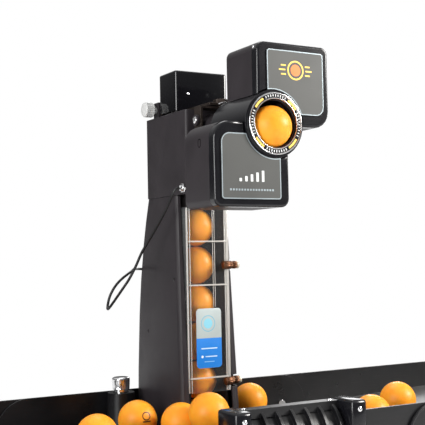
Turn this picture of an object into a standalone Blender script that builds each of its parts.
"""A table-tennis ball robot: a ball column on a hopper with folding wings, and a two-wheel throwing head.

Metres, +Z up. Sizes are given about the vertical axis of the ball channel, with -Y towards the player
and Z from the table. Everything hangs from one empty that puts the footprint's middle at the origin.
"""

import math

import bmesh
import bpy
from mathutils import Matrix, Vector

# Driving dimensions
GAP = 0.0003  # clearance between two pieces that touch
WALL = 0.0025  # moulded wall
BALL_DIAMETER = 0.040
BALL_PLAY = 0.0015  # side play of a ball in a bore

REAR_OUTER_Y = 0.0855  # rear face of the wings
COMB_FRONT_Y = -0.1935

FOOT_RADIUS = 0.012
FOOT_HEIGHT = 0.010
FOOT_X = 0.085
FOOT_Y = (-0.130, 0.045)
BASE_HALF_X = 0.110
BASE_Y = (-0.152, 0.068)
FLOOR_TOP = 0.095  # hopper floor
TRAY_TOP = 0.1345

HINGE_X = 0.158
HINGE_Z = 0.1005
HINGE_PIN_RADIUS = 0.004
TAB_RADIUS = 0.0345
WING_LENGTH = 0.402  # from the hinge to the outer end
WING_SLOPE = math.radians(2.0)
WALL_STEP = 0.003  # from a hopper wall to the wing wall outside it, face to face

COMB_HALF_X = 0.0699
COMB_CAP_WIDTH = 0.0167
COMB_DEPTH = 0.0326
COMB_TOP = 0.1464
COMB_RIBS = 7
RIB_PITCH = 0.0155

SEAM_Z = 0.3425
UPPER_HEIGHT = 0.086
COLUMN_HALF_X = (0.0350, 0.0312)  # at the floor, at the seam
COLUMN_FRONT_Y = (-0.0313, -0.0172)
COLUMN_REAR_Y = (0.0775, 0.050)
UPPER_HALF_X = 0.0315
UPPER_Y = (-0.042, 0.050)
COVER_HALF_X = 0.025
COVER_FRONT_Y = -0.0265
COVER_SIDE_DEPTH = 0.016
COVER_Z = (0.140, 0.330)
COVER_JOINTS_Z = (0.1548, 0.2098, 0.2498, 0.2948)
LABEL_X = (-0.0150, 0.0144)
LABEL_Z = (0.1648, 0.2258)
THUMB_Z = (0.150, 0.270)
THUMB_Y = -0.023
STACK_BALLS = 6
FIRST_BALL_RISE = 0.0153  # centre of the lowest ball in the column, above the floor

BARREL_DROP = 0.0285  # from the column top down to the barrel axis
BEND_RADIUS = 0.038
ELBOW_LEAD = 0.003  # straight run of the elbow above the channel
PIVOT_Y = -0.060  # the vertical pan axis and the level tilt axis cross this line
TILT_RISE = 0.0148  # the tilt axis is above the barrel axis
TUBE_REAR_Y = -0.052
TUBE_FRONT_Y = -0.1025
SLEEVE_RADIUS = 0.0315
SLEEVE_Y = (-0.157, -0.092)
RING_RADIUS = 0.029
RING_FRONT_Y = -0.160
MUZZLE_BALL_DEPTH = 0.010  # of its centre behind the dial ring's front

HOUSING_X = (-0.0640, 0.0165)
HOUSING_Z = (-0.0770, 0.001)
HOUSING_Y = (-0.155, -0.1005)
BEZEL_DEPTH = 0.009
LABEL_PLATE_X = (-0.0572, 0.0065)
LABEL_PLATE_Z = (-0.0701, -0.0099)
LABEL_PLATE_THICKNESS = 0.0008
HOUSING_WALL = 0.0022

WHEEL_RADIUS = 0.023
WHEEL_WIDTH = 0.014
WHEEL_GRIP = 0.037  # distance between the two tyres
WHEEL_Y = -0.1275
MOTOR_RADIUS = 0.0115
MOTOR_CLEARANCE = 0.001572  # between a motor's outer end and the housing's walls
MOTOR_SLEEVE_CLEARANCE = 0.001579  # along the motor, from where it would meet the wall round the sleeve

DRIVE_HALF_X = 0.031
DRIVE_Y = (-0.0209, 0.0173)
DRIVE_CLEARANCE = 0.0019  # under the pan drive cover
DRIVE_HEIGHT = 0.0422

CORD_RADIUS = 0.0014

# Small parts
LOCK_KNOB = (0.060, 0.062, 0.1358)  # x, y and underside
LOCK_KNOB_RADIUS = 0.0096
LOCK_KNOB_HEIGHT = 0.0157
LOCK_STUD_RADIUS = 0.003
FEEDER_RADIUS = 0.0275
FEEDER_MOTOR_X = 0.030
FEEDER_MOTOR_RADIUS = 0.016
FEEDER_MOTOR_LENGTH = 0.050
PAN_KNOB_OUT = 0.001  # the pan lock knob stands off the column's side
PAN_KNOB_Y = 0.0277
PAN_KNOB_RISE = 0.0087  # above the column top
PAN_KNOB_RADIUS = 0.0085
PAN_KNOB_LENGTH = 0.012
KNOB_STUD_RADIUS = 0.003
THUMB_STUD_RADIUS = 0.002
THUMB_BODY_RADIUS = 0.0043
PAN_PIN_RADIUS = 0.005
PAN_MOTOR_RADIUS = 0.014
YOKE_THICKNESS = 0.0022
YOKE_ARM_X = 0.0250  # inner face of each arm
TILT_PIN_RADIUS = 0.0035
TILT_HEAD_RADIUS = 0.0055
HOUSING_CORNERS = (0.007, 0.008, 0.001, 0.016)
LABEL_CORNERS = (0.003, 0.003, 0.001, 0.009)
EYELET_Y = -0.0360
EYELET_Z = 0.3490
EYELET_RADIUS = 0.0045
EYELET_REACH = 0.0037  # out from the column's side
GLAND_X = -0.0180
GLAND_Z = 0.2662
GLAND_LENGTH = 0.0065

# The control cord's line, from the eyelet to the gland
CORD_ROUTE = (
    (-0.0367, -0.0360, 0.3490),
    (-0.0390, -0.0358, 0.3484),
    (-0.0410, -0.0352, 0.3468),
    (-0.0423, -0.0340, 0.3443),
    (-0.0430, -0.0318, 0.3408),
    (-0.0441, -0.0268, 0.3335),
    (-0.0465, -0.0185, 0.3222),
    (-0.0510, -0.0010, 0.3022),
    (-0.0570, 0.0118, 0.2841),
    (-0.0610, 0.0185, 0.2700),
    (-0.0663, 0.0251, 0.2560),
    (-0.0702, 0.0298, 0.2480),
    (-0.0741, 0.0357, 0.2395),
    (-0.0768, 0.0417, 0.2325),
    (-0.0782, 0.0476, 0.2275),
    (-0.0781, 0.0528, 0.2254),
    (-0.0767, 0.0569, 0.2270),
    (-0.0749, 0.0592, 0.2316),
    (-0.0729, 0.0599, 0.2375),
    (-0.0697, 0.0597, 0.2440),
    (-0.0652, 0.0592, 0.2505),
    (-0.0590, 0.0589, 0.2565),
    (-0.0516, 0.0597, 0.2615),
    (-0.0444, 0.0634, 0.2650),
    (-0.0395, 0.0690, 0.2668),
    (-0.0335, 0.0770, 0.2670),
    (-0.0290, 0.0812, 0.2669),
    (-0.0246, 0.0830, 0.2668),
    (-0.0206, 0.0820, 0.2666),
    (-0.0184, 0.0794, 0.2663),
    (-0.0180, 0.0768, 0.2662),
)

# Derived sizes
COLUMN_TOP = SEAM_Z + UPPER_HEIGHT
BARREL_Z = COLUMN_TOP - BARREL_DROP
TILT_Z = BARREL_Z + TILT_RISE
DRIVE_Z = (COLUMN_TOP + DRIVE_CLEARANCE, COLUMN_TOP + DRIVE_CLEARANCE + DRIVE_HEIGHT)
PAN_KNOB = (-UPPER_HALF_X - PAN_KNOB_OUT, PAN_KNOB_Y, COLUMN_TOP + PAN_KNOB_RISE)
FIRST_BALL_Z = FLOOR_TOP + FIRST_BALL_RISE
WHEEL_REACH = WHEEL_GRIP / 2 + WHEEL_RADIUS  # from the barrel axis to a wheel's centre
DIAGONAL = math.sqrt(0.5)
BITE_RADIUS = SLEEVE_RADIUS + 0.0005
ROOM_X = HOUSING_X[1] - HOUSING_WALL - MOTOR_CLEARANCE + WHEEL_REACH * DIAGONAL
ROOM_Z = -HOUSING_Z[0] - HOUSING_WALL - MOTOR_CLEARANCE - WHEEL_REACH * DIAGONAL
MOTOR_BITE = math.sqrt((BITE_RADIUS + HOUSING_WALL) ** 2 - (WHEEL_REACH - MOTOR_RADIUS) ** 2)
MOTOR_SPAN = (
    MOTOR_BITE + MOTOR_SLEEVE_CLEARANCE,
    min(ROOM_X, ROOM_Z) / DIAGONAL - MOTOR_RADIUS,
)  # from the wheel's centre
CHANNEL_Y = -(REAR_OUTER_Y + COMB_FRONT_Y) / 2
BALL_RADIUS = BALL_DIAMETER / 2
BORE_RADIUS = BALL_RADIUS + BALL_PLAY
TUBE_RADIUS = BORE_RADIUS + WALL
CHANNEL_HALF_X = BALL_RADIUS + 0.001
FLOOR_BOTTOM = FLOOR_TOP - WALL
HOPPER_REAR_Y = REAR_OUTER_Y - WALL_STEP
HOPPER_FRONT_Y = COMB_FRONT_Y + 0.010
SLOT_HALF_X = COVER_HALF_X + 0.0006

for old in list(bpy.data.objects):
    bpy.data.objects.remove(old, do_unlink=True)

parts = bpy.data.collections.new("ball_robot")
cutters = bpy.data.collections.new("cutters")
bpy.context.scene.collection.children.link(parts)
bpy.context.scene.collection.children.link(cutters)
cutters.hide_render = True


def empty(name, place, parent):
    """An axis marker. Its place is given about the channel axis, as all places are."""
    marker = bpy.data.objects.new(name, None)
    marker.empty_display_size = 0.02
    parts.objects.link(marker)
    marker.parent = parent
    marker.location = Vector(place) - Vector(parent["place"])
    marker["place"] = place
    return marker


machine = bpy.data.objects.new("machine_origin", None)
parts.objects.link(machine)
machine.location = (0.0, CHANNEL_Y, 0.0)
machine["place"] = (0.0, 0.0, 0.0)


def paint(name, color, roughness, metallic=0.0, alpha=1.0):
    """A Principled material."""
    material = bpy.data.materials.new(name)
    material.use_nodes = True
    shader = material.node_tree.nodes["Principled BSDF"]
    shader.inputs["Base Color"].default_value = (*color, 1.0)
    shader.inputs["Roughness"].default_value = roughness
    shader.inputs["Metallic"].default_value = metallic
    shader.inputs["Alpha"].default_value = alpha
    return material


CHARCOAL = (0.042, 0.036, 0.040)
JET = (0.010, 0.010, 0.012)
STEEL = (0.70, 0.70, 0.70)
BRASS = (0.42, 0.17, 0.06)
ORANGE = (1.0, 0.33, 0.03)


def add(name, mesh, color, roughness, metallic=0.0, alpha=1.0, holder=None):
    """A named piece. Its mesh, drawn about the channel axis, is moved to its holder's own axis."""
    piece = bpy.data.objects.new(name, mesh)
    parts.objects.link(piece)
    hang(piece, holder)
    mesh.materials.append(paint(name, color, roughness, metallic, alpha))
    return piece


def hang(piece, holder):
    """Parent a piece to an axis marker and put the piece's origin there."""
    holder = holder or machine
    piece.data.transform(Matrix.Translation(-Vector(holder["place"])))
    piece.parent = holder


def tool(mesh, target):
    """A hidden helper for a Boolean, held where its target is."""
    helper = bpy.data.objects.new(target.name + "_tool", mesh)
    cutters.objects.link(helper)
    helper.hide_render = True
    helper.display_type = "WIRE"
    hang(helper, target.parent)
    return helper


def combine(target, operation, mesh):
    modifier = target.modifiers.new(operation.lower(), "BOOLEAN")
    modifier.operation = operation
    modifier.solver = "EXACT"
    modifier.object = tool(mesh, target)


def cut(target, *meshes):
    for mesh in meshes:
        combine(target, "DIFFERENCE", mesh)


def join(target, *meshes):
    for mesh in meshes:
        combine(target, "UNION", mesh)


def bevel(target, width, segments=2, angle=35.0):
    modifier = target.modifiers.new("bevel", "BEVEL")
    modifier.width = width
    modifier.segments = segments
    modifier.limit_method = "ANGLE"
    modifier.angle_limit = math.radians(angle)


def smooth(*pieces):
    for piece in pieces:
        piece.data.shade_smooth()
        piece.data.set_sharp_from_angle(angle=math.radians(35.0))


def to_mesh(name, shape):
    mesh = bpy.data.meshes.new(name)
    shape.to_mesh(mesh)
    shape.free()
    return mesh


def box(low, high):
    """A block between two corners."""
    shape = bmesh.new()
    bmesh.ops.create_cube(shape, size=1.0)
    low, high = Vector(low), Vector(high)
    bmesh.ops.scale(shape, vec=high - low, verts=shape.verts)
    bmesh.ops.translate(shape, vec=(low + high) / 2, verts=shape.verts)
    return to_mesh("box", shape)


def rod(start, end, radius, sides=24, end_radius=None):
    """A cylinder, or a cone, from one point to another."""
    shape = bmesh.new()
    start, end = Vector(start), Vector(end)
    along = end - start
    bmesh.ops.create_cone(
        shape,
        cap_ends=True,
        segments=sides,
        radius1=radius,
        radius2=radius if end_radius is None else end_radius,
        depth=along.length,
    )
    turn = along.to_track_quat("Z", "Y").to_matrix().to_4x4()
    bmesh.ops.transform(shape, matrix=Matrix.Translation((start + end) / 2) @ turn, verts=shape.verts)
    return to_mesh("rod", shape)


def ball(center, sides=14, rings=9):
    shape = bmesh.new()
    radius = BALL_RADIUS - GAP / 2
    bmesh.ops.create_uvsphere(shape, u_segments=sides, v_segments=rings, radius=radius)
    bmesh.ops.translate(shape, vec=center, verts=shape.verts)
    return to_mesh("ball", shape)


def baked(source):
    """The mesh that a curve or a modified object makes, welded, and the source removed."""
    graph = bpy.context.evaluated_depsgraph_get()
    mesh = bpy.data.meshes.new_from_object(source.evaluated_get(graph))
    bpy.data.objects.remove(source, do_unlink=True)
    shape = bmesh.new()
    shape.from_mesh(mesh)
    bmesh.ops.remove_doubles(shape, verts=shape.verts, dist=1e-6)
    bmesh.ops.recalc_face_normals(shape, faces=shape.faces)
    shape.to_mesh(mesh)
    shape.free()
    mesh.materials.clear()
    return mesh


CYCLE = Matrix(((0, 0, 1, 0), (1, 0, 0, 0), (0, 1, 0, 0), (0, 0, 0, 1)))  # X to Y, Y to Z, Z to X


def plate(outline, low, high, plane="XY"):
    """A flat outline made thick between two levels of the axis that its plane leaves out."""
    curve = bpy.data.curves.new("outline", "CURVE")
    curve.dimensions = "2D"
    curve.fill_mode = "BOTH"
    curve.extrude = (high - low) / 2
    spline = curve.splines.new("POLY")
    spline.points.add(len(outline) - 1)
    for point, (a, b) in zip(spline.points, outline):
        point.co = (a, b, 0.0, 1.0)
    spline.use_cyclic_u = True
    drawn = bpy.data.objects.new("outline", curve)
    bpy.context.scene.collection.objects.link(drawn)
    mesh = baked(drawn)
    middle = (low + high) / 2
    turns = {
        "XY": Matrix.Translation((0, 0, middle)),
        "XZ": Matrix.Translation((0, middle, 0)) @ Matrix.Rotation(math.pi / 2, 4, "X"),
        "YZ": Matrix.Translation((middle, 0, 0)) @ CYCLE,
    }
    mesh.transform(turns[plane])
    return mesh


def turned(profile, start, axis, steps=32):
    """A closed (radius, height) profile swept round an axis that leaves the point start."""
    shape = bmesh.new()
    corners = [shape.verts.new((radius, 0.0, height)) for radius, height in profile]
    for first, second in zip(corners, corners[1:] + corners[:1]):
        shape.edges.new((first, second))
    source = bpy.data.objects.new("profile", to_mesh("profile", shape))
    bpy.context.scene.collection.objects.link(source)
    screw = source.modifiers.new("screw", "SCREW")
    screw.steps = steps
    screw.render_steps = steps
    screw.use_merge_vertices = True
    screw.merge_threshold = 1e-5
    mesh = baked(source)
    turn = Vector(axis).to_track_quat("Z", "Y").to_matrix().to_4x4()
    mesh.transform(Matrix.Translation(start) @ turn)
    return mesh


def arc(center, radius, start, end, steps):
    """Points on an arc, in the plane's own two coordinates, angles in degrees."""
    points = []
    for step in range(steps + 1):
        angle = math.radians(start + (end - start) * step / steps)
        points.append((center[0] + radius * math.cos(angle), center[1] + radius * math.sin(angle)))
    return points


def rounded(left, right, bottom, top, radius, steps=4):
    """A rectangle with round corners. The radius is one number, or four from the lower left, anticlockwise."""
    radii = radius if isinstance(radius, tuple) else (radius,) * 4
    corners = (
        (left, bottom, 1, 1, 180),
        (right, bottom, -1, 1, 270),
        (right, top, -1, -1, 0),
        (left, top, 1, -1, 90),
    )
    points = []
    for (a, b, inward_a, inward_b, start), r in zip(corners, radii):
        points += arc((a + inward_a * r, b + inward_b * r), r, start, start + 90, steps)
    return points


def loft(rings):
    """A closed skin through rings of points that have the same count."""
    shape = bmesh.new()
    rows = [[shape.verts.new(point) for point in ring] for ring in rings]
    count = len(rings[0])
    for lower, upper in zip(rows, rows[1:]):
        for i in range(count):
            j = (i + 1) % count
            shape.faces.new((lower[i], lower[j], upper[j], upper[i]))
    shape.faces.new(list(reversed(rows[0])))
    shape.faces.new(rows[-1])
    bmesh.ops.recalc_face_normals(shape, faces=shape.faces)
    return to_mesh("loft", shape)


def mirrored(mesh):
    """A copy of a mesh, mirrored left to right."""
    copy = mesh.copy()
    copy.transform(Matrix.Scale(-1.0, 4, (1, 0, 0)))
    copy.flip_normals()
    return copy


def half_turned(mesh):
    """A copy of a mesh turned by half a turn about the barrel axis."""
    copy = mesh.copy()
    copy.transform(Matrix.Translation((0, 0, 2 * BARREL_Z)) @ Matrix.Diagonal((-1, 1, -1, 1)))
    return copy


# %% Base and hopper


def base():
    inlet_z = 0.045
    shell = add(
        "base_shell",
        plate(rounded(-BASE_HALF_X, BASE_HALF_X, *BASE_Y, 0.012), FOOT_HEIGHT + GAP, FLOOR_BOTTOM - GAP),
        JET,
        0.45,
    )
    inner = rounded(-BASE_HALF_X + WALL, BASE_HALF_X - WALL, BASE_Y[0] + WALL, BASE_Y[1] - WALL, 0.012 - WALL)
    cut(shell, plate(inner, 0.0, FLOOR_TOP + WALL))
    inlet = ((-0.014, BASE_Y[1] - 0.012, inlet_z - 0.010), (0.014, BASE_Y[1] + 0.001, inlet_z + 0.010))
    clear = Vector((GAP, GAP, GAP))
    cut(shell, box(Vector(inlet[0]) - clear, Vector(inlet[1]) + 3 * clear))
    socket = add("power_inlet", box(*inlet), (0.02, 0.02, 0.022), 0.35)
    cut(socket, rod((0, BASE_Y[1] - 0.008, inlet_z), (0, BASE_Y[1] + 0.002, inlet_z), 0.005))
    under = rounded(
        -BASE_HALF_X + WALL + GAP,
        BASE_HALF_X - WALL - GAP,
        BASE_Y[0] + WALL + GAP,
        BASE_Y[1] - WALL - GAP,
        0.012 - WALL,
    )
    sheet = plate(under, FOOT_HEIGHT + GAP, FOOT_HEIGHT + GAP + WALL)
    add("base_plate", sheet, (0.03, 0.03, 0.032), 0.5, 0.6)
    names = ("front_left", "front_right", "rear_left", "rear_right")
    places = ((-FOOT_X, FOOT_Y[0]), (FOOT_X, FOOT_Y[0]), (-FOOT_X, FOOT_Y[1]), (FOOT_X, FOOT_Y[1]))
    for name, (x, y) in zip(names, places):
        foot = rod((x, y, 0.0), (x, y, FOOT_HEIGHT), FOOT_RADIUS * 0.85, end_radius=FOOT_RADIUS)
        smooth(add("foot_" + name, foot, (0.02, 0.02, 0.02), 0.8))


def tab_wall(outer_radius, bottom, half_x):
    """A hopper wall seen from the front: straight on top, with a round tab at each hinge."""
    drop = math.degrees(math.asin((HINGE_Z - bottom) / outer_radius))
    right = arc((half_x, HINGE_Z), outer_radius, -drop, 90, 10)
    return right + [(-a, b) for a, b in reversed(right)]


def hopper():
    floor_edge = HINGE_X - 0.0005
    tray = add(
        "hopper_tray",
        box((-floor_edge, HOPPER_FRONT_Y, FLOOR_BOTTOM), (floor_edge, HOPPER_REAR_Y, FLOOR_TOP)),
        JET,
        0.32,
    )
    outline = tab_wall(TAB_RADIUS, FLOOR_BOTTOM, HINGE_X)
    join(
        tray,
        plate(outline, HOPPER_REAR_Y - WALL, HOPPER_REAR_Y, "XZ"),
        plate(outline, HOPPER_FRONT_Y, HOPPER_FRONT_Y + WALL, "XZ"),
    )
    for side in (-1, 1):
        x, y = side * LOCK_KNOB[0], LOCK_KNOB[1]
        join(tray, rod((x, y, FLOOR_BOTTOM + 0.001), (x, y, LOCK_KNOB[2] - GAP), 0.016, end_radius=0.0145))
        cut(tray, rod((x, y, FLOOR_TOP + 0.020), (x, y, LOCK_KNOB[2] + 0.01), LOCK_STUD_RADIUS + GAP, 16))
        for wall_y in (HOPPER_REAR_Y, HOPPER_FRONT_Y):
            ends = (side * HINGE_X, wall_y - 0.01, HINGE_Z), (side * HINGE_X, wall_y + 0.01, HINGE_Z)
            cut(tray, rod(*ends, HINGE_PIN_RADIUS + GAP, 20))
    comb_gap = COMB_HALF_X + GAP
    cut(
        tray,
        box((-comb_gap, HOPPER_FRONT_Y - 0.01, FLOOR_TOP), (comb_gap, HOPPER_FRONT_Y + 0.01, TRAY_TOP + 0.02)),
        rod((0, 0, FLOOR_BOTTOM - 0.01), (0, 0, FLOOR_TOP + 0.01), BORE_RADIUS, 32),
    )
    return tray


def lock_knobs():
    for side, name in ((-1, "left"), (1, "right")):
        x, y, z = side * LOCK_KNOB[0], LOCK_KNOB[1], LOCK_KNOB[2]
        marker = empty(f"lock_knob_{name}_axis", (x, y, z), machine)
        profile = (
            (0.0, LOCK_KNOB_HEIGHT),
            (LOCK_KNOB_RADIUS - 0.0012, LOCK_KNOB_HEIGHT),
            (LOCK_KNOB_RADIUS, LOCK_KNOB_HEIGHT - 0.0012),
            (LOCK_KNOB_RADIUS, 0.0012),
            (LOCK_KNOB_RADIUS - 0.0012, 0.0),
            (LOCK_STUD_RADIUS, 0.0),
            (LOCK_STUD_RADIUS, -0.012),
            (0.0, -0.012),
        )
        shape = turned(profile, (x, y, z), (0, 0, 1), 24)
        smooth(add(f"lock_knob_{name}", shape, STEEL, 0.25, 1.0, holder=marker))


def ellipse(front, top, inset, steps, reverse=False):
    """A quarter ellipse from the comb's top bar forward and down, in (y, z)."""
    center = (COMB_FRONT_Y + COMB_DEPTH - 0.003, FLOOR_TOP + GAP)
    points = []
    for step in range(steps + 1):
        angle = math.pi / 2 * (1 + step / steps)
        y = center[0] + (front - inset) * math.cos(angle)
        points.append((y, center[1] + (top - inset) * math.sin(angle)))
    return points[::-1] if reverse else points


def comb():
    reach = COMB_DEPTH - 0.005
    height = COMB_TOP - FLOOR_TOP - 0.003
    half = COMB_HALF_X - COMB_CAP_WIDTH - GAP
    skin = ellipse(reach, height, 0.005, 10) + ellipse(reach, height, 0.0075, 10, True)
    grille = add("front_comb", plate(skin, -half, half, "YZ"), (0.018, 0.018, 0.020), 0.30)
    rib = ellipse(reach, height, 0.0, 10) + ellipse(reach, height, 0.0065, 10, True)
    for index in range(COMB_RIBS):
        x = (index - (COMB_RIBS - 1) / 2) * RIB_PITCH
        join(grille, plate(rib, x - 0.0014, x + 0.0014, "YZ"))
    back = COMB_FRONT_Y + COMB_DEPTH
    join(grille, box((-half, back - 0.012, COMB_TOP - 0.010), (half, back, COMB_TOP - 0.0018)))
    for side, name in ((-1, "left"), (1, "right")):
        ends = sorted((side * (COMB_HALF_X - COMB_CAP_WIDTH), side * COMB_HALF_X))
        cap = add(
            f"comb_cap_{name}",
            box((ends[0], COMB_FRONT_Y, FLOOR_TOP + GAP), (ends[1], back, COMB_TOP)),
            JET,
            0.22,
        )
        bevel(cap, 0.003)


def hinge_pins():
    head = 0.0024
    head_radius = HINGE_Z - FLOOR_TOP - 2 * GAP
    for side, side_name in ((-1, "left"), (1, "right")):
        for way, inner, name in ((1, HOPPER_REAR_Y - WALL, "rear"), (-1, HOPPER_FRONT_Y + WALL, "front")):
            x, outer = side * HINGE_X, inner + way * (2 * WALL + WALL_STEP - WALL)
            pin = add(
                f"hinge_pin_{name}_{side_name}",
                rod((x, inner - way * (head + GAP), HINGE_Z), (x, inner - way * GAP, HINGE_Z), head_radius, 20),
                STEEL,
                0.3,
                1.0,
            )
            shank = (x, inner - way * head / 2, HINGE_Z), (x, outer - way * GAP, HINGE_Z)
            join(pin, rod(*shank, HINGE_PIN_RADIUS, 20))


def wing_outline(end_x):
    """A wing's long wall seen from the front: a disc round the hinge, and a straight run to the outer end."""
    radius = TRAY_TOP - HINGE_Z
    below = FLOOR_BOTTOM
    drop = math.degrees(math.asin((HINGE_Z - below) / radius))
    inner = arc((HINGE_X, HINGE_Z), radius, 90, 180 + drop, 12)
    outer = arc((end_x - 0.015, TRAY_TOP - 0.015), 0.015, 0, 90, 5)
    return inner + [(end_x, below)] + outer


def wings():
    rear, front = REAR_OUTER_Y, HOPPER_FRONT_Y - WALL_STEP
    end_x = HINGE_X + WING_LENGTH
    tilt = Matrix.Rotation(-WING_SLOPE, 4, "Y")
    edge = Matrix.Translation((HINGE_X, 0, FLOOR_TOP))
    notch_x = HINGE_X + TAB_RADIUS + 0.0015
    inside = (HOPPER_FRONT_Y + 2 * GAP + WALL, HOPPER_REAR_Y - WALL - 2 * GAP)
    floor_points = [
        (HINGE_X + 0.0008, inside[0]),
        (notch_x, inside[0]),
        (notch_x, front + WALL / 2),
        (end_x - WALL / 2, front + WALL / 2),
        (end_x - WALL / 2, rear - WALL / 2),
        (notch_x, rear - WALL / 2),
        (notch_x, inside[1]),
        (HINGE_X + 0.0008, inside[1]),
    ]
    for side, name in ((-1, "left"), (1, "right")):
        marker = empty(f"wing_{name}_axis", (side * HINGE_X, 0.0, HINGE_Z), machine)
        pose = mirrored if side < 0 else lambda mesh: mesh
        floor = plate(floor_points, FLOOR_BOTTOM, FLOOR_TOP)
        floor.transform(edge @ tilt @ edge.inverted())
        wing = add(f"{name}_wing", pose(floor), JET, 0.32, holder=marker)
        walls = (
            plate(wing_outline(end_x), rear - WALL, rear, "XZ"),
            plate(wing_outline(end_x), front, front + WALL, "XZ"),
            box((end_x - WALL, front + WALL / 2, FLOOR_BOTTOM), (end_x, rear - WALL / 2, TRAY_TOP - 0.016)),
        )
        join(wing, *(pose(wall) for wall in walls))
        for near, far in ((rear - 0.01, rear + 0.01), (front - 0.01, front + 0.01)):
            pin_hole = rod((HINGE_X, near, HINGE_Z), (HINGE_X, far, HINGE_Z), HINGE_PIN_RADIUS + GAP, 20)
            cut(wing, pose(pin_hole))


def feeder():
    wheel_z = FIRST_BALL_Z - BALL_RADIUS - FEEDER_RADIUS - GAP
    axis = empty("feeder_axis", (0.0, 0.0, wheel_z), machine)
    hub = rod((-0.010, 0, wheel_z), (FEEDER_MOTOR_X - GAP, 0, wheel_z), 0.006)
    wheel = add("feeder_wheel", hub, (0.55, 0.55, 0.52), 0.4, holder=axis)
    for step in range(4):
        angle = math.radians(90 * step)
        paddle = box((-0.007, -0.003, 0.0), (0.007, 0.003, FEEDER_RADIUS - 0.0003))
        paddle.transform(Matrix.Translation((0, 0, wheel_z)) @ Matrix.Rotation(angle, 4, "X"))
        join(wheel, paddle)
    motor = rod(
        (FEEDER_MOTOR_X, 0, wheel_z),
        (FEEDER_MOTOR_X + FEEDER_MOTOR_LENGTH, 0, wheel_z),
        FEEDER_MOTOR_RADIUS,
        28,
    )
    smooth(add("feeder_motor", motor, STEEL, 0.35, 0.9))


# %% Column and ball channel


def column_ring(z, inset):
    """The lower column's section at a height: the rear flares towards the floor, most of it near the seam."""
    share = (SEAM_Z - z) / (SEAM_Z - FLOOR_TOP)
    half_x = COLUMN_HALF_X[1] + (COLUMN_HALF_X[0] - COLUMN_HALF_X[1]) * share - inset
    front = COLUMN_FRONT_Y[1] + (COLUMN_FRONT_Y[0] - COLUMN_FRONT_Y[1]) * share + inset
    flare = 1.0 - (1.0 - max(0.0, min(1.0, share))) ** 3
    rear = COLUMN_REAR_Y[1] + (COLUMN_REAR_Y[0] - COLUMN_REAR_Y[1]) * flare - inset
    return [(x, y, z) for x, y in rounded(-half_x, half_x, front, rear, 0.006 - inset, 3)]


def column():
    bottom = FLOOR_TOP + GAP
    levels = [bottom + (SEAM_Z - bottom) * share for share in (0.0, 0.25, 0.5, 0.65, 0.8, 0.9, 1.0)]
    lower = add("column_lower", loft([column_ring(z, 0.0) for z in levels]), CHARCOAL, 0.5)
    ends = [bottom - 0.01] + levels[1:-1] + [SEAM_Z + 0.01]
    slot = box((-SLOT_HALF_X, -0.1, 0.0), (SLOT_HALF_X, -0.010, SEAM_Z + 0.1))
    cut(lower, loft([column_ring(z, WALL) for z in ends]), slot)
    for z in THUMB_Z:
        cut(lower, box((0.0, -0.06, z - 0.006), (0.05, THUMB_Y + 0.006, z + 0.006)))

    floor = SEAM_Z + GAP
    casing = plate(rounded(-UPPER_HALF_X, UPPER_HALF_X, *UPPER_Y, 0.004), floor, COLUMN_TOP)
    upper = add("column_upper", casing, CHARCOAL, 0.5)
    inner = rounded(-UPPER_HALF_X + WALL, UPPER_HALF_X - WALL, UPPER_Y[0] + WALL, UPPER_Y[1] - WALL, 0.0015)
    lug_low = (-UPPER_HALF_X + 0.002, PAN_KNOB[1] - 0.006, COLUMN_TOP - 0.001)
    join(upper, box(lug_low, (0.010, PAN_KNOB[1] + 0.006, PAN_KNOB[2] + 0.008)))
    cut(
        upper,
        plate(inner, floor - 0.01, COLUMN_TOP - WALL),
        rod((0, UPPER_Y[0] - 0.01, BARREL_Z), (0, UPPER_Y[0] + 0.01, BARREL_Z), BORE_RADIUS + 0.0005, 32),
        rod((-0.05, *PAN_KNOB[1:]), (-0.012, *PAN_KNOB[1:]), KNOB_STUD_RADIUS + GAP, 16),
    )


def pan_knob():
    axis = empty("lock_screw_axis", PAN_KNOB, machine)
    profile = (
        (0.0, PAN_KNOB_LENGTH),
        (PAN_KNOB_RADIUS - 0.001, PAN_KNOB_LENGTH),
        (PAN_KNOB_RADIUS, PAN_KNOB_LENGTH - 0.001),
        (PAN_KNOB_RADIUS, 0.0),
        (KNOB_STUD_RADIUS, 0.0),
        (KNOB_STUD_RADIUS, -0.018),
        (0.0, -0.018),
    )
    shape = turned(profile, PAN_KNOB, (-1, 0, 0), 24)
    smooth(add("head_lock_knob", shape, (0.75, 0.75, 0.76), 0.4, holder=axis))


def u_section(half_x, back, front, wall):
    """A channel section open to the front, in (x, y)."""
    outer = half_x + wall
    return [
        (-outer, front),
        (-half_x, front),
        (-half_x, back),
        (half_x, back),
        (half_x, front),
        (outer, front),
        (outer, back + wall),
        (-outer, back + wall),
    ]


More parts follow.
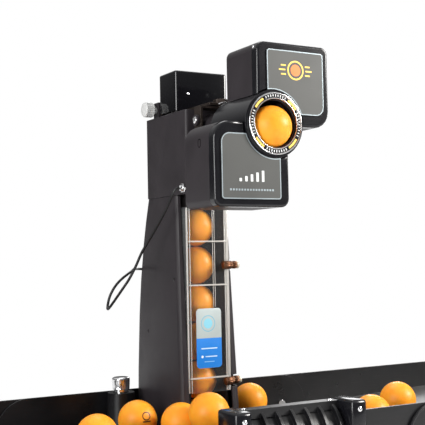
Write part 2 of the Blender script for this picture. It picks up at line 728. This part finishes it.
def ball_channel():
    wall = 0.002
    top = BARREL_Z - BEND_RADIUS - ELBOW_LEAD - GAP
    front = COVER_FRONT_Y + 0.002 + GAP
    channel = add(
        "ball_channel",
        plate(u_section(CHANNEL_HALF_X, CHANNEL_HALF_X, front, wall), FLOOR_TOP + GAP, top),
        (0.02, 0.02, 0.022),
        0.3,
    )
    cover_inner = CHANNEL_HALF_X + wall + GAP
    side = COVER_HALF_X - cover_inner
    back = COVER_FRONT_Y + COVER_SIDE_DEPTH
    outline = [
        (-COVER_HALF_X, COVER_FRONT_Y),
        (COVER_HALF_X, COVER_FRONT_Y),
        (COVER_HALF_X, back),
        (COVER_HALF_X - side, back),
        (COVER_HALF_X - side, COVER_FRONT_Y + 0.002),
        (-COVER_HALF_X + side, COVER_FRONT_Y + 0.002),
        (-COVER_HALF_X + side, back),
        (-COVER_HALF_X, back),
    ]
    cover = add("channel_cover", plate(outline, *COVER_Z), (0.9, 0.92, 0.93), 0.08, alpha=0.25)
    for z in COVER_JOINTS_Z:
        if LABEL_Z[0] < z < LABEL_Z[1]:
            continue
        low = (-COVER_HALF_X, COVER_FRONT_Y - 0.0008, z - 0.0012)
        join(cover, box(low, (COVER_HALF_X, COVER_FRONT_Y + 0.001, z + 0.0012)))
    for z in THUMB_Z:
        hole = (0.015, THUMB_Y, z), (0.04, THUMB_Y, z)
        cut(channel, rod(*hole, THUMB_STUD_RADIUS + GAP, 12))
        cut(cover, rod(*hole, THUMB_STUD_RADIUS + GAP, 12))
    sticker = rounded(*LABEL_X, *LABEL_Z, 0.004)
    film = plate(sticker, COVER_FRONT_Y - 0.0008, COVER_FRONT_Y - GAP, "XZ")
    add("cover_label", film, (0.1, 0.4, 0.9), 0.4)


def thumb_screws():
    start = COVER_HALF_X + GAP
    stud_end = -(start - CHANNEL_HALF_X - 0.0003)
    profile = (
        (0.0, 0.0145),
        (0.0030, 0.0145),
        (0.0036, 0.0137),
        (0.0036, 0.0115),
        (0.0030, 0.0110),
        (THUMB_BODY_RADIUS, 0.0105),
        (THUMB_BODY_RADIUS, 0.0),
        (THUMB_STUD_RADIUS, 0.0),
        (THUMB_STUD_RADIUS, stud_end),
        (0.0, stud_end),
    )
    for z, name in zip(THUMB_Z, ("lower", "upper")):
        place = (start, THUMB_Y, z)
        axis = empty(f"thumb_screw_{name}_axis", place, machine)
        shape = turned(profile, place, (1, 0, 0), 20)
        screw = add(f"thumb_screw_{name}", shape, BRASS, 0.35, 0.9, holder=axis)
        smooth(screw)


def stack():
    for index in range(STACK_BALLS):
        place = (0.0, 0.0, FIRST_BALL_Z + index * BALL_DIAMETER)
        smooth(add(f"stack_ball_{index + 1}", ball(place), ORANGE, 0.35))
    resting = FLOOR_TOP + BALL_RADIUS
    for index, (x, y) in enumerate(((-0.0696, 0.001), (0.0906, 0.0425)), start=1):
        smooth(add(f"hopper_ball_{index}", ball((x, y, resting)), ORANGE, 0.35))


def elbow():
    """The bend from the vertical channel to the level barrel, inside the upper column."""
    center_y, center_z = -BEND_RADIUS, BARREL_Z - BEND_RADIUS
    end_y = UPPER_Y[0] + WALL + GAP

    def pipe(radius, extra):
        curve = bpy.data.curves.new("bend", "CURVE")
        curve.dimensions = "3D"
        curve.bevel_depth = radius
        curve.bevel_resolution = 6
        curve.use_fill_caps = True
        bend = arc((center_y, center_z), BEND_RADIUS, 0, 90, 8)
        route = [(0, center_z - ELBOW_LEAD - extra)] + bend + [(end_y - extra, BARREL_Z)]
        spline = curve.splines.new("POLY")
        spline.points.add(len(route) - 1)
        for point, (y, z) in zip(spline.points, route):
            point.co = (0.0, y, z, 1.0)
        drawn = bpy.data.objects.new("bend", curve)
        bpy.context.scene.collection.objects.link(drawn)
        return baked(drawn)

    guide = add("elbow_guide", pipe(TUBE_RADIUS, 0.0), (0.02, 0.02, 0.022), 0.3)
    cut(guide, pipe(BORE_RADIUS, 0.01))
    smooth(guide)


# %% Pan drive, yoke and barrel


def pan_drive():
    base_z = COLUMN_TOP + GAP
    block = box((-DRIVE_HALF_X, DRIVE_Y[0], DRIVE_Z[0]), (DRIVE_HALF_X, DRIVE_Y[1], DRIVE_Z[1]))
    cover = add("pan_drive_cover", block, JET, 0.12)
    bevel(cover, 0.0015)
    inside = 0.002
    low = (-DRIVE_HALF_X + inside, DRIVE_Y[0] + inside, DRIVE_Z[0] - 0.01)
    cut(cover, box(low, (DRIVE_HALF_X - inside, DRIVE_Y[1] - inside, DRIVE_Z[1] - inside)))
    middle = sum(DRIVE_Y) / 2
    can = rod((0, middle, base_z), (0, middle, DRIVE_Z[1] - 0.008), PAN_MOTOR_RADIUS, 28)
    motor = add("pan_motor", can, STEEL, 0.35, 0.9)
    join(motor, box((-0.026, middle - 0.012, base_z), (0.026, middle + 0.012, base_z + 0.006)))

    plate_z = (DRIVE_Z[0] - 0.0004, DRIVE_Z[0] + 0.0021)
    half_x, rear = 0.018, DRIVE_Y[0] - 0.0011
    frame = add(
        "pivot_bracket",
        box((-half_x, PIVOT_Y - 0.008, plate_z[0]), (half_x, rear, plate_z[1])),
        (0.05, 0.045, 0.045),
        0.35,
        0.8,
    )
    join(frame, box((-half_x, UPPER_Y[0] + 0.001, base_z), (half_x, rear, plate_z[0] + 0.001)))
    pin_hole = rod((0, PIVOT_Y, plate_z[0] - 0.01), (0, PIVOT_Y, plate_z[1] + 0.01), PAN_PIN_RADIUS + GAP, 24)
    cut(frame, pin_hole)
    return plate_z


def yoke(plate_z, holder):
    """The fork that pans: an arm on each side of the barrel, and a pin through the bracket above."""
    web = (plate_z[0] - 0.0008 - YOKE_THICKNESS, plate_z[0] - 0.0008)
    outer = YOKE_ARM_X + YOKE_THICKNESS
    bridge = box((-outer, PIVOT_Y - 0.006, web[0]), (outer, PIVOT_Y + 0.006, web[1]))
    fork = add("turret_yoke", bridge, (0.10, 0.09, 0.09), 0.35, 0.8, holder=holder)
    for side in (-1, 1):
        ends = sorted((side * YOKE_ARM_X, side * outer))
        arm_low = (ends[0], PIVOT_Y - 0.0065, TILT_Z - 0.012)
        join(fork, box(arm_low, (ends[1], PIVOT_Y + 0.0065, web[0] + 0.001)))
    nut_z = plate_z[1] + 0.0006
    join(
        fork,
        rod((0, PIVOT_Y, web[0] + 0.001), (0, PIVOT_Y, nut_z + 0.001), PAN_PIN_RADIUS, 24),
        rod((0, PIVOT_Y, nut_z), (0, PIVOT_Y, nut_z + 0.004), 0.008, 6),
    )
    cut(fork, rod((-0.05, PIVOT_Y, TILT_Z), (0.05, PIVOT_Y, TILT_Z), TILT_PIN_RADIUS + GAP, 20))


def pin_rod(start_x, end_x, radius):
    """A length of a tilt pin, along X."""
    return rod((start_x, PIVOT_Y, TILT_Z), (end_x, PIVOT_Y, TILT_Z), radius, 20)


def barrel(holder):
    wall_out, wall_in = TUBE_RADIUS, BORE_RADIUS
    length = TUBE_REAR_Y - TUBE_FRONT_Y
    profile = ((wall_out, length), (wall_out, 0.0), (wall_in, 0.0), (wall_in, length))
    pipe = turned(profile, (0, TUBE_FRONT_Y, BARREL_Z), (0, 1, 0), 32)
    tube = add("barrel_tube", pipe, CHARCOAL, 0.45, holder=holder)
    for side in (-1, 1):
        outer = YOKE_ARM_X + YOKE_THICKNESS
        rise = TILT_Z - BARREL_Z
        start = math.sqrt(wall_in**2 - (rise - TILT_PIN_RADIUS) ** 2) - 0.001
        join(
            tube,
            pin_rod(side * start, side * (outer + 0.001), TILT_PIN_RADIUS),
            pin_rod(side * (outer + 0.0005), side * (outer + 0.003), TILT_HEAD_RADIUS),
        )
    bore_start, bore_end = (0, TUBE_FRONT_Y - 0.01, BARREL_Z), (0, TUBE_REAR_Y + 0.01, BARREL_Z)
    cut(tube, rod(bore_start, bore_end, BORE_RADIUS - 0.00005, 32))
    smooth(tube)


# %% Throwing head

def wheel_place(side):
    """The centre of a tyre: side -1 is the lower left one, +1 the upper right one."""
    reach = side * WHEEL_REACH * DIAGONAL
    return Vector((reach, WHEEL_Y, BARREL_Z + reach))


def wheel_window(clearance):
    """The slot that the lower tyre reaches through."""
    half = WHEEL_WIDTH / 2 + clearance
    length = WHEEL_RADIUS + clearance
    slot = box((-WHEEL_REACH - length, WHEEL_Y - length, -half), (-0.010, WHEEL_Y + length, half))
    slot.transform(Matrix.Translation((0, 0, BARREL_Z)) @ Matrix.Rotation(-math.pi / 4, 4, "Y"))
    return slot


def bitten(bounds_x, bounds_z, inset, corners):
    """A round-cornered rectangle below left of the barrel, with its corner there bitten out by the sleeve."""
    left, right = bounds_x[0] + inset, bounds_x[1] - inset
    bottom, top = bounds_z[0] + inset, bounds_z[1] - inset
    bite = BITE_RADIUS + inset
    points = rounded(left, right, bottom, top, tuple(max(r - inset, 0.0005) for r in corners), 5)
    kept = [p for p in points if math.hypot(*p) > bite + 1e-6]
    start = math.degrees(math.atan2(-math.sqrt(bite**2 - right**2), right))
    end = math.degrees(math.atan2(top, -math.sqrt(bite**2 - top**2)))
    end = end - 360 if end > 0 else end
    notch = arc((0, 0), bite, start, end, 10)
    turn = max(range(len(kept)), key=lambda i: kept[i][0] * 10 + kept[i][1])
    return [(x, z + BARREL_Z) for x, z in kept[: turn + 1] + notch + kept[turn + 1 :]]


def housing_pieces():
    """The lower housing, its bezel and its label plate, as (name, mesh, cutting meshes, colour, roughness)."""
    seam = HOUSING_Y[0] + BEZEL_DEPTH
    outline = bitten(HOUSING_X, HOUSING_Z, 0.0, HOUSING_CORNERS)
    inner = bitten(HOUSING_X, HOUSING_Z, HOUSING_WALL, HOUSING_CORNERS)
    label = bitten(LABEL_PLATE_X, LABEL_PLATE_Z, 0.0, LABEL_CORNERS)
    window = wheel_window(0.0009)
    rear_room = plate(inner, seam - 0.01, HOUSING_Y[1] - HOUSING_WALL, "XZ")
    front_room = plate(inner, HOUSING_Y[0] + WALL, seam + 0.01, "XZ")
    return (
        ("housing", plate(outline, seam + GAP, HOUSING_Y[1], "XZ"), (rear_room, window), CHARCOAL, 0.5),
        ("bezel", plate(outline, HOUSING_Y[0], seam, "XZ"), (front_room, window.copy()), JET, 0.25),
        (
            "label_plate",
            plate(label, HOUSING_Y[0] - GAP - LABEL_PLATE_THICKNESS, HOUSING_Y[0] - GAP, "XZ"),
            (),
            (0.15, 0.15, 0.145),
            0.4,
        ),
    )


def head(holder):
    for kind, mesh, tools, color, roughness in housing_pieces():
        for place, pose in (("upper", half_turned), ("lower", lambda m: m)):
            piece = add(f"{place}_{kind}", pose(mesh), color, roughness, holder=holder)
            cut(piece, *(pose(item) for item in tools))
            smooth(piece)
    collar = TUBE_FRONT_Y - 0.0006
    front, rear = SLEEVE_Y
    bore, seat = BORE_RADIUS + 0.0005, TUBE_RADIUS + 0.0004
    outline = (
        (SLEEVE_RADIUS, rear),
        (SLEEVE_RADIUS, front),
        (bore, front),
        (bore, collar),
        (seat, collar),
        (seat, rear),
    )
    profile = [(radius, y - front) for radius, y in outline]
    core = add("head_core", turned(profile, (0, front, BARREL_Z), (0, 1, 0), 36), JET, 0.3, holder=holder)
    cut(core, wheel_window(0.0009), half_turned(wheel_window(0.0009)))
    smooth(core)
    ring_rear = front - GAP
    depth = ring_rear - RING_FRONT_Y
    ring = (
        (RING_RADIUS, depth),
        (RING_RADIUS, 0.0012),
        (RING_RADIUS - 0.0012, 0.0),
        (bore + 0.001, 0.0),
        (bore + 0.0003, 0.001),
        (bore + 0.0003, depth),
    )
    dial = turned(ring, (0, RING_FRONT_Y, BARREL_Z), (0, 1, 0), 40)
    smooth(add("dial_ring", dial, STEEL, 0.2, 1.0, holder=holder))
    drop = bore + 0.0003 - BALL_RADIUS - 0.0002
    muzzle_ball = ball((0, RING_FRONT_Y + MUZZLE_BALL_DEPTH, BARREL_Z - drop))
    smooth(add("barrel_ball", muzzle_ball, ORANGE, 0.35, holder=holder))
    for side, name in ((1, "upper"), (-1, "lower")):
        outward = Vector((-side * DIAGONAL, 0, side * DIAGONAL))
        center = wheel_place(side)
        start, end = (center + outward * reach for reach in MOTOR_SPAN)
        motor = add(f"{name}_motor", rod(start, end, MOTOR_RADIUS, 24), STEEL, 0.35, 0.9, holder=holder)
        smooth(motor)


def wheels(holder):
    half = WHEEL_WIDTH / 2
    profile = (
        (0.0, MOTOR_SPAN[0] - GAP),
        (0.002, MOTOR_SPAN[0] - GAP),
        (0.002, half),
        (WHEEL_RADIUS - 0.0015, half),
        (WHEEL_RADIUS, half - 0.0015),
        (WHEEL_RADIUS, -half + 0.0015),
        (WHEEL_RADIUS - 0.0015, -half),
        (0.0, -half),
    )
    for side, name in ((1, "upper"), (-1, "lower")):
        place = wheel_place(side)
        axis = empty(f"{name}_wheel_axis", place, holder)
        outward = (-side * DIAGONAL, 0, side * DIAGONAL)
        shape = turned(profile, place, outward, 28)
        smooth(add(f"{name}_wheel", shape, (0.03, 0.03, 0.03), 0.7, holder=axis))


# %% Control cord

def smooth_route(points, spacing):
    """Points at an even spacing on a Catmull-Rom curve through the given ones."""
    knots = [Vector(p) for p in points]
    knots = [2 * knots[0] - knots[1]] + knots + [2 * knots[-1] - knots[-2]]
    fine = []
    for a, b, c, d in zip(knots, knots[1:], knots[2:], knots[3:]):
        for step in range(20):
            t = step / 20
            bend = (2 * a - 5 * b + 4 * c - d) * t**2 + (3 * b - a - 3 * c + d) * t**3
            fine.append((2 * b + (c - a) * t + bend) / 2)
    fine.append(knots[-2])
    route = [fine[0]]
    for point in fine[1:-1]:
        if (point - route[-1]).length >= spacing:
            route.append(point)
    if (route[-1] - fine[-1]).length < spacing / 2:
        route.pop()
    return route + [fine[-1]]


def cord():
    x, y, z = -UPPER_HALF_X - GAP, EYELET_Y, EYELET_Z
    eyelet = add("cord_eyelet", rod((x, y, z), (x - 0.0025, y, z), EYELET_RADIUS, 20), STEEL, 0.2, 1.0)
    join(eyelet, rod((x - 0.001, y, z), (x - EYELET_REACH, y, z), 0.003, 16))
    x, z = GLAND_X, GLAND_Z
    y = max(point[1] for point in column_ring(z - 0.0045, 0.0)) + GAP
    cone = rod((x, y, z), (x, y + GLAND_LENGTH, z), 0.0045, 20, end_radius=0.003)
    gland = add("cord_gland", cone, (0.02, 0.02, 0.02), 0.5)
    smooth(eyelet, gland)
    curve = bpy.data.curves.new("control_cord", "CURVE")
    curve.dimensions = "3D"
    curve.bevel_depth = CORD_RADIUS
    curve.bevel_resolution = 2
    curve.use_fill_caps = True
    route = smooth_route(CORD_ROUTE, 5 * CORD_RADIUS)
    spline = curve.splines.new("POLY")
    spline.points.add(len(route) - 1)
    for point, place in zip(spline.points, route):
        point.co = (*place, 1.0)
    tube = bpy.data.objects.new("control_cord", curve)
    parts.objects.link(tube)
    tube.parent = machine
    curve.materials.append(paint("control_cord", (0.01, 0.01, 0.01), 0.4))


base()
hopper()
comb()
lock_knobs()
hinge_pins()
wings()
feeder()
column()
pan_knob()
ball_channel()
thumb_screws()
stack()
elbow()
bracket_z = pan_drive()
pan_axis = empty("head_pan_axis", (0.0, PIVOT_Y, BARREL_Z), machine)
tilt_axis = empty("head_tilt_axis", (0.0, PIVOT_Y, TILT_Z), pan_axis)
roll_axis = empty("head_roll_axis", (0.0, WHEEL_Y, BARREL_Z), tilt_axis)
yoke(bracket_z, pan_axis)
barrel(tilt_axis)
head(roll_axis)
wheels(roll_axis)
cord()
